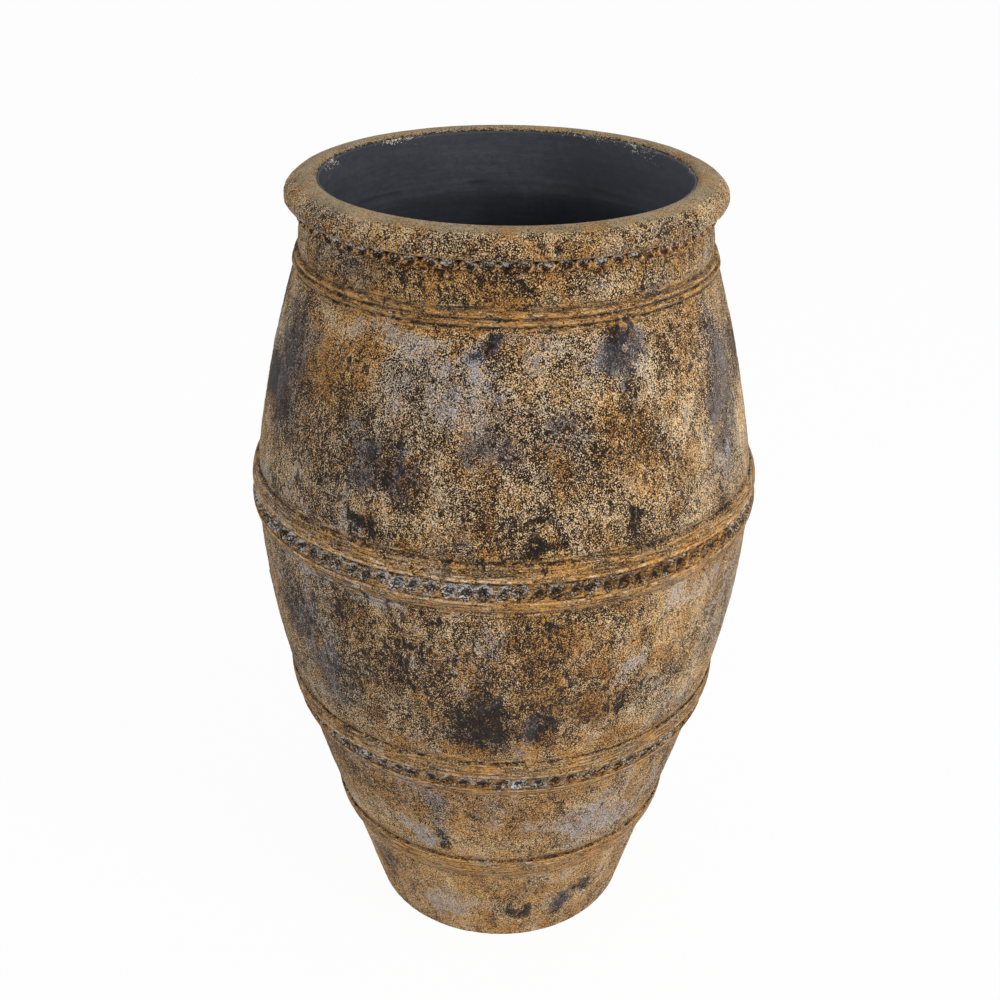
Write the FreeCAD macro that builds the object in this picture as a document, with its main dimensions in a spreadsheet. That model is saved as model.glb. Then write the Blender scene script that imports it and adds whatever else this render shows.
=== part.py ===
"""A section-built storage jar of fired clay (a pithos), millimetres, +Z up.

The origin is on the ground at the middle of the foot. The wall is made in five
sections that sit in one another with stepped lap joints. A clay band is pressed
over each joint, a rolled lip closes the neck, and a dark coat lines the inside.
"""
import FreeCAD, Part
import os
import Sketcher

SIZES = {
    # Heights of the stretches of the wall, from the ground up.
    "foot_height": 148,
    "collar_height": 38,
    "lower_wall_height": 147,
    "lower_band_height": 61,
    "belly_wall_height": 235,
    "belly_band_height": 62,
    "shoulder_height": 240,
    "neck_seat_height": 28,
    "neck_height": 43,
    "rim_seat_height": 12,
    "rim_height": 32,
    # Outer radii of the bare wall at the ends of those stretches.
    "base_radius": 180,
    "collar_low_radius": 221.5,
    "collar_high_radius": 233.3,
    "lower_band_low_radius": 274,
    "lower_band_high_radius": 290,
    "belly_band_low_radius": 319.3,
    "belly_band_high_radius": 316,
    "neck_seat_low_radius": 259.6,
    "neck_seat_high_radius": 250,
    "mouth_radius": 222,
    # How far the neck and the lip reach out from the edge of the mouth.
    "rim_seat_low_width": 23,
    "rim_seat_high_width": 20,
    "rim_under_width": 29,
    "rim_width": 41,
    # How far each stretch of wall swells out from a straight line.
    "lower_swell": 1,
    "belly_swell": 6.2,
    "shoulder_swell": 5.2,
    "neck_swell": 1.5,
    # Thicknesses and the clearance of the lap joints.
    "wall_thickness": 24,
    "base_thickness": 26,
    "base_flange": 14,
    "base_edge_round": 3,
    "lining_thickness": 2,
    "slip_gap": 0.3,
    # The rolled lip.
    "rim_edge_drop": 5,
    "rim_crest_inset": 10,
    "rim_widest_height": 16,
    "rim_inner_round": 1.5,
    "rim_top_round": 4.2,
    "rim_under_round": 6,
    # The collar over the foot joint.
    "collar_low_proud": 1.5,
    "collar_high_proud": 3.5,
    "collar_round": 3,
    # The double coil at the base of the neck.
    "neck_coil_height": 8,
    "neck_coil_edge": 1.5,
    "neck_coil_round": 3,
    # The strips of the belly band and the lower band.
    "belly_lower_fillet_height": 17,
    "belly_strip_height": 23,
    "belly_strip_proud": 7.2,
    "belly_lip_proud": 8,
    "belly_edge_proud": 1.8,
    "belly_fillet_round": 1.6,
    "lower_lower_fillet_height": 14,
    "lower_strip_height": 21,
    "lower_strip_proud": 5.8,
    "lower_lip_proud": 6.6,
    "lower_edge_proud": 1.6,
    "lower_fillet_round": 1.4,
    # Thumb presses: half the width and half the height of the thumb, and how deep it goes.
    "belly_press_half_width": 10,
    "belly_press_half_height": 9,
    "belly_press_depth": 4.4,
    "lower_press_half_width": 10.5,
    "lower_press_half_height": 8.5,
    "lower_press_depth": 4,
    # The crimped strip under the lip, pinched between two fingers.
    "crimp_proud": 6,
    "crimp_press_half_width": 7.5,
    "crimp_press_half_height": 5,
    "crimp_press_depth": 3.6,
}

COUNTS = {
    "belly_press_count": 100,
    "lower_press_count": 80,
    "crimp_press_count": 76,
}

# Where a lap joint lies in the height of its band, and how much of the band above it the lap takes.
JOINT_SHARE = 0.5
LAP_SHARE = 0.6
# An edge this near to the ground, as a share of the flange, lies on it.
NEAR_SHARE = 0.001
HALF_SHARE = 0.5
FULL_TURN = 360
CUBIC_CENTIMETRE = 1000

os.makedirs("parts", exist_ok=True)
doc = FreeCAD.newDocument("pithos")
sheet = doc.addObject("Spreadsheet::Sheet", "sizes")
for row, (name, number) in enumerate({**SIZES, **COUNTS}.items(), start=1):
    sheet.set("A%d" % row, name)
    sheet.set("B%d" % row, str(number))
    sheet.setAlias("B%d" % row, name)
doc.recompute()


def cell(name):
    """The expression that reads one size."""
    return "sizes." + name


def total(*terms):
    """The expression that adds sizes and other expressions."""
    return "(" + " + ".join(terms) + ")"


def less(first, second):
    """The expression for the first term without the second."""
    return "(" + first + " - " + second + ")"


def part_of(low, high, share):
    """The expression for a place at a share of the way from low to high."""
    return "(%s + (%s - %s) * %s)" % (low, high, low, share)


def number(expression):
    """What an expression is worth with the sizes as they stand."""
    return float(sheet.evalExpression(expression))


def swell_radius(start, end, swell):
    """The radius of the arc that swells by that much between two points."""
    chord = "((%s - %s)^2 + (%s - %s)^2)" % (end[0], start[0], end[1], start[1])
    return "(%s / 4 + %s^2) / (2 * %s)" % (chord, swell, swell)


def radius_at(place):
    """The radius at a named place: its own size, or a width out from the edge of the mouth."""
    if place + "_radius" in SIZES:
        return cell(place + "_radius")
    return total(cell("mouth_radius"), cell(place + "_width"))


class Seat:
    """A straight, slightly sloping stretch of the wall that a band is pressed on."""

    def __init__(self, bottom, height, low_place, high_place):
        self.bottom = bottom
        self.height = height
        self.low_radius = radius_at(low_place)
        self.high_radius = radius_at(high_place)
        self.top = total(bottom, height)

    def radius(self, level):
        """The wall's outer radius at a height."""
        share = "((%s - %s) / %s)" % (level, self.bottom, self.height)
        return part_of(self.low_radius, self.high_radius, share)

    def point(self, level, proud="0"):
        """A point at a height, that far out from the wall."""
        return (total(self.radius(level), proud), level)


def seats():
    """Every band seat, with the heights added up from the ground."""
    rows = (
        ("collar", "foot_height", "collar_height"),
        ("lower_band", "lower_wall_height", "lower_band_height"),
        ("belly_band", "belly_wall_height", "belly_band_height"),
        ("neck_seat", "shoulder_height", "neck_seat_height"),
        ("rim_seat", "neck_height", "rim_seat_height"),
    )
    made = {}
    level = "0"
    for name, wall_height, seat_height in rows:
        bottom = total(level, cell(wall_height))
        made[name] = Seat(bottom, cell(seat_height), name + "_low", name + "_high")
        level = made[name].top
    return made


SEAT = seats()
NECK_TOP = SEAT["rim_seat"].top
RIM_TOP = total(NECK_TOP, cell("rim_height"))
LINED_MOUTH = total(cell("mouth_radius"), cell("lining_thickness"))


class Outline:
    """A closed outline in the upright plane, point by point, as (radius, height) expressions."""

    def __init__(self, start):
        self.points = [start]
        self.swells = []

    def line(self, point):
        self.points.append(point)
        self.swells.append(None)
        return self

    def arc(self, point, swell, outward=True):
        """An arc to the point, swelling to the right of the way there, or else to the left."""
        self.points.append(point)
        self.swells.append((swell, outward))
        return self

    def step(self, point, swell, outward=True):
        """An arc to the point where there is a swell, and a line where there is none."""
        return self.line(point) if swell is None else self.arc(point, swell, outward)

    def close(self):
        self.swells.append(None)
        return self


def placed(point):
    return FreeCAD.Vector(number(point[0]), number(point[1]), 0)


def add_edge(sketch, start, end, swell):
    """One edge of an outline. It returns the edge, its end at the start and its end at the finish."""
    first = placed(start)
    last = placed(end)
    if swell is None:
        return sketch.addGeometry(Part.LineSegment(first, last)), 1, 2
    size, outward = swell
    along = (last - first).normalize()
    right = FreeCAD.Vector(along.y, -along.x, 0)
    across = right if outward else -right
    middle = (first + last) * HALF_SHARE + across * number(size)
    if outward:
        edge = sketch.addGeometry(Part.Arc(first, middle, last))
        ends = (1, 2)
    else:
        edge = sketch.addGeometry(Part.Arc(last, middle, first))
        ends = (2, 1)
    radius = sketch.addConstraint(Sketcher.Constraint("Radius", edge, sketch.Geometry[edge].Radius))
    sketch.setExpression("Constraints[%d]" % radius, swell_radius(start, end, size))
    return (edge,) + ends


def fix_corner(sketch, edge, end, point):
    """Ties a corner of an outline to its radius and its height."""
    for direction, axis, place in (("DistanceX", -2, point[0]), ("DistanceY", -1, point[1])):
        if place == "0":
            sketch.addConstraint(Sketcher.Constraint("PointOnObject", edge, end, axis))
            continue
        rule = sketch.addConstraint(Sketcher.Constraint(direction, -1, 1, edge, end, number(place)))
        sketch.setExpression("Constraints[%d]" % rule, place)


def upright_sketch(body, outline):
    """The sketch of an outline, on its body's own upright plane."""
    sketch = body.newObject("Sketcher::SketchObject", body.Name + "_outline")
    plane = next(item for item in body.Origin.OriginFeatures if item.Role == "XZ_Plane")
    sketch.AttachmentSupport = [(plane, "")]
    sketch.MapMode = "FlatFace"
    following = outline.points[1:] + outline.points[:1]
    edges = [add_edge(sketch, *ends) for ends in zip(outline.points, following, outline.swells)]
    for index, (edge, start, finish) in enumerate(edges):
        before, before_start, before_finish = edges[index - 1]
        sketch.addConstraint(Sketcher.Constraint("Coincident", before, before_finish, edge, start))
        fix_corner(sketch, edge, start, outline.points[index])
    return sketch


def turned(name, outline):
    """A body made by turning an outline about the jar's axis."""
    body = doc.addObject("PartDesign::Body", name)
    body.Label = name
    sketch = upright_sketch(body, outline)
    turn = body.newObject("PartDesign::Revolution", name + "_turn")
    turn.Profile = sketch
    turn.ReferenceAxis = (sketch, ["V_Axis"])
    turn.Angle = FULL_TURN
    sketch.Visibility = False
    doc.recompute()
    return body


def press_row(body, name, seat, level, proud):
    """Presses a row of hollows into the face of a turned strip, all round it."""
    sketch = next(item for item in body.Group if item.TypeId == "Sketcher::SketchObject")
    half_width = cell(name + "_press_half_width")
    surface = total(seat.radius(level), proud)
    plain_faces = len(body.Shape.Faces)
    press = body.newObject("PartDesign::SubtractiveEllipsoid", body.Name + "_press")
    press.setExpression("Radius1", cell(name + "_press_half_height"))
    press.setExpression("Radius2", half_width)
    press.setExpression("Radius3", half_width)
    press.setExpression("Placement.Base.x", less(total(surface, half_width), cell(name + "_press_depth")))
    press.setExpression("Placement.Base.z", level)
    row = body.newObject("PartDesign::PolarPattern", body.Name + "_row")
    row.Originals = [press]
    row.Axis = (sketch, ["V_Axis"])
    row.Angle = FULL_TURN
    row.setExpression("Occurrences", cell(name + "_press_count"))
    body.Tip = row
    doc.recompute()
    print("%s has %d hollows" % (body.Label, len(body.Shape.Faces) - plain_faces))
    return body


def joint_level(seat):
    return part_of(seat.bottom, seat.top, JOINT_SHARE)


def lap_level(seat):
    return part_of(joint_level(seat), seat.top, LAP_SHARE)


def inside(point):
    """The point on the wall's inner face that faces a point on its outer face."""
    return (less(point[0], cell("wall_thickness")), point[1])


def lap_radius(seat):
    """Where the step of a lap joint stands, half way through the wall."""
    return less(seat.radius(joint_level(seat)), "%s * %s" % (cell("wall_thickness"), HALF_SHARE))


def wall_section(name, below, above, swell):
    """A ring of wall between two seats, stepped at both ends."""
    low_step = lap_radius(below)
    top_step = lap_radius(above)
    outline = Outline((total(low_step, cell("slip_gap")), joint_level(below)))
    outline.line(below.point(joint_level(below)))
    outline.line(below.point(below.top))
    outline.arc(above.point(above.bottom), swell)
    outline.line(above.point(joint_level(above)))
    outline.line((top_step, joint_level(above)))
    outline.line((top_step, lap_level(above)))
    outline.line(inside(above.point(lap_level(above))))
    outline.line(inside(above.point(above.bottom)))
    outline.arc(inside(below.point(below.top)), swell, outward=False)
    outline.line(inside(below.point(lap_level(below))))
    outline.line((total(low_step, cell("slip_gap")), lap_level(below)))
    return turned(name, outline.close())


FOOT = Seat("0", cell("foot_height"), "base", "collar_low")


def base_disc():
    """The slab that closes the foot: a flange under the wall, and a plug inside it."""
    plug_radius = less(FOOT.radius(cell("base_flange")), cell("wall_thickness"))
    outline = Outline(("0", "0"))
    outline.line(FOOT.point("0"))
    outline.line(FOOT.point(cell("base_flange")))
    outline.line((less(plug_radius, cell("slip_gap")), cell("base_flange")))
    outline.line((less(plug_radius, cell("slip_gap")), cell("base_thickness")))
    outline.line(("0", cell("base_thickness")))
    body = turned("base_disc", outline.close())
    slab = body.Tip
    on_the_ground = number(cell("base_flange")) * NEAR_SHARE
    edges = enumerate(slab.Shape.Edges, start=1)
    ground_edges = ["Edge%d" % index for index, edge in edges if edge.BoundBox.ZMax < on_the_ground]
    rounding = body.newObject("PartDesign::Fillet", "base_disc_edge")
    rounding.Base = (slab, ground_edges)
    rounding.setExpression("Radius", cell("base_edge_round"))
    doc.recompute()
    return body


def foot_section():
    """The cone of the foot, standing on the slab's flange."""
    above = SEAT["collar"]
    outline = Outline(inside(FOOT.point(cell("base_flange"))))
    outline.line(FOOT.point(cell("base_flange")))
    outline.line(above.point(above.bottom))
    outline.line(above.point(joint_level(above)))
    outline.line((lap_radius(above), joint_level(above)))
    outline.line((lap_radius(above), lap_level(above)))
    outline.line(inside(above.point(lap_level(above))))
    outline.line(inside(above.point(above.bottom)))
    outline.line(inside(FOOT.point(cell("base_thickness"))))
    return turned("foot_section", outline.close())


def neck_section():
    """The short neck. Its bore closes in to the mouth under the lip."""
    below = SEAT["neck_seat"]
    above = SEAT["rim_seat"]
    step = total(lap_radius(below), cell("slip_gap"))
    outline = Outline((step, joint_level(below)))
    outline.line(below.point(joint_level(below)))
    outline.line(below.point(below.top))
    outline.arc(above.point(above.bottom), cell("neck_swell"))
    outline.line(above.point(above.top))
    outline.line((LINED_MOUTH, above.top))
    outline.line(inside(below.point(below.top)))
    outline.line(inside(below.point(lap_level(below))))
    outline.line((step, lap_level(below)))
    return turned("neck_section", outline.close())


def ring_on(name, seat, low, high, low_proud, high_proud, swell):
    """A strip pressed on a seat between two heights, with a round face."""
    outline = Outline(seat.point(low))
    outline.line(seat.point(low, low_proud))
    outline.arc(seat.point(high, high_proud), swell)
    outline.line(seat.point(high))
    return turned(name, outline.close())


def band(name):
    """A band of three strips: a smooth one, one with a row of thumb presses, and a smooth one."""
    seat = SEAT[name + "_band"]
    strip_low = total(seat.bottom, cell(name + "_lower_fillet_height"))
    strip_high = total(strip_low, cell(name + "_strip_height"))
    edge = cell(name + "_edge_proud")
    lip = cell(name + "_lip_proud")
    face = cell(name + "_strip_proud")
    swell = cell(name + "_fillet_round")
    lower = ring_on(name + "_band_lower_fillet", seat, seat.bottom, strip_low, edge, lip, swell)
    upper = ring_on(name + "_band_upper_fillet", seat, strip_high, seat.top, lip, edge, swell)
    outline = Outline(seat.point(strip_low))
    outline.line(seat.point(strip_low, face))
    outline.line(seat.point(strip_high, face))
    outline.line(seat.point(strip_high))
    strip = turned(name + "_band_impressed_strip", outline.close())
    press_row(strip, name, seat, part_of(strip_low, strip_high, HALF_SHARE), face)
    return [upper, strip, lower]


def neck_coils():
    """Two coils side by side over the joint at the base of the neck."""
    seat = SEAT["neck_seat"]
    edge = cell("neck_coil_edge")
    between = less(seat.top, cell("neck_coil_height"))
    bottom = less(between, cell("neck_coil_height"))
    swell = cell("neck_coil_round")
    upper = ring_on("neck_base_upper_coil", seat, between, seat.top, edge, edge, swell)
    lower = ring_on("neck_base_lower_coil", seat, bottom, between, edge, edge, swell)
    return [upper, lower]


def crimped_strip():
    """The strip tucked under the lip, pinched all the way round."""
    seat = SEAT["rim_seat"]
    outline = Outline(seat.point(seat.bottom))
    outline.line(seat.point(seat.bottom, cell("crimp_proud")))
    outline.line(seat.point(seat.top, cell("crimp_proud")))
    outline.line(seat.point(seat.top))
    strip = turned("rim_crimped_strip", outline.close())
    middle = part_of(seat.bottom, seat.top, HALF_SHARE)
    return press_row(strip, "crimp", seat, middle, cell("crimp_proud"))


def rim_lip():
    """The thick rolled lip, seated on the neck and on the crimped strip."""
    widest = (radius_at("rim"), total(NECK_TOP, cell("rim_widest_height")))
    crest = (total(LINED_MOUTH, cell("rim_crest_inset")), RIM_TOP)
    outline = Outline((LINED_MOUTH, NECK_TOP))
    outline.line((radius_at("rim_under"), NECK_TOP))
    outline.arc(widest, cell("rim_under_round"))
    outline.arc(crest, cell("rim_top_round"))
    outline.arc((LINED_MOUTH, less(RIM_TOP, cell("rim_edge_drop"))), cell("rim_inner_round"))
    return turned("rim_lip", outline.close())


def coated(point):
    """The point on the lining's own face that faces a point on the wall's outer face."""
    return (less(inside(point)[0], cell("lining_thickness")), point[1])


def inner_lining():
    """The thin dark coat over the whole inside, from the lip's inner edge to the floor."""
    floor = total(cell("base_thickness"), cell("lining_thickness"))
    top = less(RIM_TOP, cell("rim_edge_drop"))
    walls = (
        ("collar", None),
        ("lower_band", cell("lower_swell")),
        ("belly_band", cell("belly_swell")),
        ("neck_seat", cell("shoulder_swell")),
    )
    outline = Outline(("0", cell("base_thickness")))
    outline.line(inside(FOOT.point(cell("base_thickness"))))
    for name, swell in walls:
        seat = SEAT[name]
        outline.step(inside(seat.point(seat.bottom)), swell)
        outline.line(inside(seat.point(seat.top)))
    outline.line((LINED_MOUTH, NECK_TOP))
    outline.line((LINED_MOUTH, top))
    outline.line((cell("mouth_radius"), top))
    outline.line((cell("mouth_radius"), NECK_TOP))
    swell_above = None
    for name, swell in reversed(walls):
        seat = SEAT[name]
        outline.step(coated(seat.point(seat.top)), swell_above, outward=False)
        outline.line(coated(seat.point(seat.bottom)))
        swell_above = swell
    outline.line(coated(FOOT.point(floor)))
    outline.line(("0", floor))
    return turned("inner_lining", outline.close())


def build():
    """Every piece, from the ground up."""
    pieces = [base_disc(), foot_section()]
    collar = SEAT["collar"]
    pieces.append(ring_on(
        "foot_collar", collar, collar.bottom, collar.top,
        cell("collar_low_proud"), cell("collar_high_proud"), cell("collar_round"),
    ))
    pieces.append(wall_section("lower_section", collar, SEAT["lower_band"], cell("lower_swell")))
    pieces += band("lower")
    pieces.append(wall_section("belly_section", SEAT["lower_band"], SEAT["belly_band"], cell("belly_swell")))
    pieces += band("belly")
    pieces.append(wall_section("shoulder_section", SEAT["belly_band"], SEAT["neck_seat"], cell("shoulder_swell")))
    pieces += neck_coils()
    pieces += [neck_section(), crimped_strip(), rim_lip(), inner_lining()]
    return pieces


def check(pieces):
    """Stops if any object failed, or if a piece isn't one valid solid."""
    for item in doc.Objects:
        failed = [word for word in item.State if word in ("Invalid", "Error")]
        if failed:
            raise RuntimeError("%s is %s" % (item.Name, failed))
    for piece in pieces:
        shape = piece.Shape
        if shape.isNull() or not shape.isValid() or len(shape.Solids) != 1:
            raise RuntimeError("%s has no valid solid" % piece.Label)


pieces = build()
doc.recompute()
check(pieces)
for piece in pieces:
    piece.Shape.exportStep("parts/" + piece.Label + ".step")
    box = piece.Shape.BoundBox
    print("%-30s %9.1f cm3  radius %6.1f  height %7.1f to %7.1f" % (
        piece.Label, piece.Shape.Volume / CUBIC_CENTIMETRE, box.XMax, box.ZMin, box.ZMax))
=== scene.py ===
"""The looks of a section-built clay storage jar, made around its packed frame.

Each piece is an outline turned about the jar's upright axis. The clay in it is then
worked as by hand: it is lumpy and pitted, its bands wander, and thumbs and fingers
have pressed its rows. Marks kept on the mesh tell the clay where it is stained.
"""

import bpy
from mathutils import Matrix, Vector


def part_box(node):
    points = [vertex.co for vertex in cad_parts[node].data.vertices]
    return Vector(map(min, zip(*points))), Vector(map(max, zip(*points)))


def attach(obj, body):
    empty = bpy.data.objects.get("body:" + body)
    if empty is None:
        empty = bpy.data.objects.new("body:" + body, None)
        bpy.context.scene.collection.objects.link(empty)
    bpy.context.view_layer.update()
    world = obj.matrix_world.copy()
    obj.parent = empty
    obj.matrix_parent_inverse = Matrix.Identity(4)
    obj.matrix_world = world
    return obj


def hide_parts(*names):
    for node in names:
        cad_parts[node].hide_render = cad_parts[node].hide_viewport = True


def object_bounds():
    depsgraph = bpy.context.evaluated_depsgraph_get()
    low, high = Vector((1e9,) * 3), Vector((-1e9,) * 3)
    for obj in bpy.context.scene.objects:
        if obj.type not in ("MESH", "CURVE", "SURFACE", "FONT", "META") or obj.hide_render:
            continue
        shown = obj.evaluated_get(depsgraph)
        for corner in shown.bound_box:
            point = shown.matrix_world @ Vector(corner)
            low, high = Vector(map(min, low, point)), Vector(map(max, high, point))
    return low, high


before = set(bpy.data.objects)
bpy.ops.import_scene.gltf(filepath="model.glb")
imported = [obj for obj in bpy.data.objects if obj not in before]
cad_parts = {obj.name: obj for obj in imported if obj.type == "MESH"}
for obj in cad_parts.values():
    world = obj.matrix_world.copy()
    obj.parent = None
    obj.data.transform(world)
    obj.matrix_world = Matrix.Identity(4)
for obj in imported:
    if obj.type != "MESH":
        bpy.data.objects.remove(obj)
CAD_BOX = [list(corner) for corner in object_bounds()]

import functools
import math
import operator

import bpy
import numpy as np
from mathutils import Euler, Matrix, Quaternion, Vector

bl_info = {
    "name": "Weathered clay pithos",
    "version": (1, 0, 0),
    "blender": (4, 5, 0),
    "location": "View3D > Sidebar > Pithos",
    "description": "Makes the looks of a section-built clay storage jar",
    "category": "Add Mesh",
}

MM = 0.001
BODY = "root"

# Sizes that a user would change, in millimetres: name, label, what it is, default.
SHAPE_ROWS = (
    ("wall", "Wall", "Thickness of the clay wall", 24),
    ("lining", "Lining", "Thickness of the coat inside", 2),
    ("gap", "Slip gap", "Clearance in the lap joints", 0.3),
    ("sink", "Sink", "How deep a band is worked into the wall behind it", 2),
    ("base_radius", "Foot radius", "Outer radius of the foot on the ground", 180),
    ("collar_low_radius", "Collar low radius", "Bare wall at the bottom of the collar", 221.5),
    ("collar_high_radius", "Collar high radius", "Bare wall at the top of the collar", 233.3),
    ("lower_low_radius", "Lower band low radius", "Bare wall at the bottom of the lower band", 274),
    ("lower_high_radius", "Lower band high radius", "Bare wall at the top of the lower band", 290),
    ("belly_low_radius", "Belly band low radius", "Bare wall at the bottom of the belly band", 319.3),
    ("belly_high_radius", "Belly band high radius", "Bare wall at the top of the belly band", 316),
    ("neck_low_radius", "Neck seat low radius", "Bare wall at the bottom of the neck seat", 259.6),
    ("neck_high_radius", "Neck seat high radius", "Bare wall at the top of the neck seat", 250),
    ("rim_low_radius", "Rim seat low radius", "Bare wall at the bottom of the crimped strip", 245),
    ("rim_high_radius", "Rim seat high radius", "Bare wall at the top of the crimped strip", 242),
    ("neck_seat_bottom", "Neck seat height", "Height where the shoulder ends", 931),
    ("lower_swell", "Lower swell", "Swell of the lower wall", 1),
    ("belly_swell", "Belly swell", "Swell of the belly wall", 6.2),
    ("shoulder_swell", "Shoulder swell", "Swell of the shoulder", 5.2),
    ("neck_swell", "Neck swell", "Swell of the neck", 1.5),
    ("belly_strip_proud", "Belly strip", "How far the pressed strip of the belly stands out", 7.2),
    ("belly_lip_proud", "Belly lip", "How far the smooth strips stand out beside it", 8),
    ("belly_edge_proud", "Belly edge", "Edge of the belly band on the wall", 1.8),
    ("belly_round", "Belly round", "Roundness of the smooth strips of the belly band", 1.6),
    ("lower_strip_proud", "Lower strip", "How far the lower pressed strip stands out", 5.8),
    ("lower_lip_proud", "Lower lip", "How far the smooth strips stand out beside it", 6.6),
    ("lower_edge_proud", "Lower edge", "Edge of the lower band on the wall", 1.6),
    ("lower_round", "Lower round", "Roundness of the smooth strips of the lower band", 1.4),
    ("collar_low_proud", "Collar bottom", "How far the collar stands out at its bottom", 1.5),
    ("collar_high_proud", "Collar top", "How far the collar stands out at its top", 3.5),
    ("collar_round", "Collar round", "Roundness of the collar's face", 3),
    ("coil_edge", "Coil edge", "Edge of the neck coils on the wall", 1.5),
    ("coil_round", "Coil round", "Roundness of the neck coils", 3),
    ("crimp_proud", "Crimped strip", "How far the crimped strip stands out", 6),
    ("mouth_radius", "Mouth radius", "Radius of the mouth inside the coat", 222),
    ("rim_radius", "Rim radius", "Widest radius of the lip", 263),
    ("rim_under_radius", "Lip underside", "Radius where the lip sits on the strip", 251),
    ("rim_crest_inset", "Crest inset", "From the mouth to the crest of the lip", 10),
    ("rim_edge_drop", "Inner edge drop", "From the crest down to the inner edge", 5),
    ("rim_widest_height", "Widest height", "Height of the widest place over the neck", 16),
    ("rim_under_round", "Under round", "Roundness of the lip's lower face", 6),
    ("rim_top_round", "Top round", "Roundness of the lip's upper face", 4.2),
    ("rim_inner_round", "Inner round", "Roundness at the lip's inner edge", 1.5),
    ("base_plug_radius", "Plug radius", "Radius of the slab inside the foot", 159),
    ("base_edge_round", "Foot edge round", "Roundness of the foot's ground edge", 3),
)
COUNT_ROWS = (
    ("segments", "Segments", "Steps round the jar in a plain piece", 720),
    ("pressed_segments", "Pressed segments", "Steps round the jar in a pressed strip", 1440),
    ("belly_presses", "Belly presses", "Thumb presses round the belly", 100),
    ("lower_presses", "Lower presses", "Thumb presses round the lower band", 80),
    ("crimps", "Crimps", "Pinches round the strip under the lip", 76),
)
COLOUR_ROWS = (
    ("tan", "Tan", "Light grains of the clay", (240, 207, 157)),
    ("ochre", "Ochre", "Warm clay between its grains", (150, 110, 60)),
    ("rust", "Rust", "Rusty stains near the bands", (156, 98, 44)),
    ("olive", "Olive", "Greyed clay", (128, 116, 90)),
    # Amber is also painted highlight along the ridges.
    ("amber", "Amber", "Light warm grains of the clay", (214, 157, 80)),
    ("brown", "Brown", "The clay between its grains", (120, 99, 68)),
    # Umber is also painted shade inside the presses.
    ("umber", "Umber", "Dark grains of the clay", (46, 31, 22)),
    # Soot is also painted shade in the creases and pits.
    ("soot", "Soot", "Flaked and sooty patches", (20, 17, 17)),
    ("slate", "Slate", "Bluish dark patches", (58, 57, 65)),
    ("ash", "Ash", "Bluish grey flecks", (106, 105, 112)),
    ("haze", "Haze", "Lime on the clay", (194, 194, 198)),
    # Chalk is also painted highlight along the ridges.
    ("chalk", "Chalk", "Chalky flecks on the ridges", (232, 224, 208)),
    ("red", "Red", "A few flecks of old red paint", (168, 70, 40)),
    ("coat", "Coat", "The dark coat inside", (62, 64, 70)),
    # The deep coat is painted shade far down inside, and the colour of the seams.
    ("coat_deep", "Deep coat", "The coat far down and in its seams", (20, 20, 23)),
    # The worn coat is also painted light on the right-hand side inside.
    ("coat_worn_and_painted_light", "Worn coat", "The coat where it is rubbed", (120, 123, 134)),
    ("floor", "Floor", "The studio floor", (244, 244, 244)),
)
STAGE_ROWS = (
    ("sky", "Sky", "Strength of the even light from all round", 0.57),
    ("key", "Key lamp", "Power of the large lamp at the right", 54),
    ("fill", "Fill lamp", "Power of the large lamp at the left", 8),
)


def to_linear(byte):
    """A colour value from 0 to 255, as light."""
    share = byte / 255
    return share / 12.92 if share <= 0.04045 else ((share + 0.055) / 1.055) ** 2.4


def properties(rows, make):
    """Annotations of a property group, one for each row."""
    return {name: make(label, text, default) for name, label, text, default in rows}


def length(label, text, millimetres):
    return bpy.props.FloatProperty(
        name=label, description=text, default=millimetres * MM, min=0, precision=4, unit="LENGTH",
    )


def count(label, text, number):
    return bpy.props.IntProperty(name=label, description=text, default=number, min=3)


def colour(label, text, bytes_of_it):
    return bpy.props.FloatVectorProperty(
        name=label, description=text, subtype="COLOR", size=3, min=0, max=1,
        default=[to_linear(byte) for byte in bytes_of_it],
    )


def strength(label, text, number):
    return bpy.props.FloatProperty(name=label, description=text, default=number, min=0)


class PithosShape(bpy.types.PropertyGroup):
    """Sizes of the jar"""
    __annotations__ = {**properties(SHAPE_ROWS, length), **properties(COUNT_ROWS, count)}


class PithosColours(bpy.types.PropertyGroup):
    """Colours of the clay, the coat and the floor"""
    __annotations__ = properties(COLOUR_ROWS, colour)


class PithosStage(bpy.types.PropertyGroup):
    """Strengths of the lights"""
    __annotations__ = properties(STAGE_ROWS, strength)


def shape():
    return bpy.context.scene.pithos_shape


@functools.cache
def reach(node):
    """The lowest and highest height of a CAD node."""
    low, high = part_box(node)
    return low.z, high.z


def bottom(node):
    return reach(node)[0]


def top(node):
    return reach(node)[1]


# The wall, and the heights that the frame gives

class Wall:
    """The bare wall's outer face: its radius at any height."""

    def __init__(self):
        sizes = shape()
        seats = (
            ("foot_collar", "foot_collar", "collar", 0),
            ("lower_band_lower_fillet", "lower_band_upper_fillet", "lower", sizes.lower_swell),
            ("belly_band_lower_fillet", "belly_band_upper_fillet", "belly", sizes.belly_swell),
            (None, "neck_base_upper_coil", "neck", sizes.shoulder_swell),
            ("rim_crimped_strip", "rim_crimped_strip", "rim", sizes.neck_swell),
        )
        heights = [0]
        radii = [sizes.base_radius]
        swells = []
        for low_node, high_node, name, swell in seats:
            heights += [bottom(low_node) if low_node else sizes.neck_seat_bottom, top(high_node)]
            radii += [getattr(sizes, name + "_low_radius"), getattr(sizes, name + "_high_radius")]
            swells += [swell, 0]
        self.heights = np.array(heights)
        self.radii = np.array(radii)
        self.swells = np.array(swells)

    def radius(self, height):
        height = np.asarray(height, float)
        stretch = np.clip(np.searchsorted(self.heights, height, side="right") - 1, 0, len(self.swells) - 1)
        low = self.heights[stretch]
        share = np.clip((height - low) / (self.heights[stretch + 1] - low), 0, 1)
        return np.interp(height, self.heights, self.radii) + self.swells[stretch] * 4 * share * (1 - share)


# Hand-worked clay, as sums of smooth random lumps

LATTICE = 64


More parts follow.
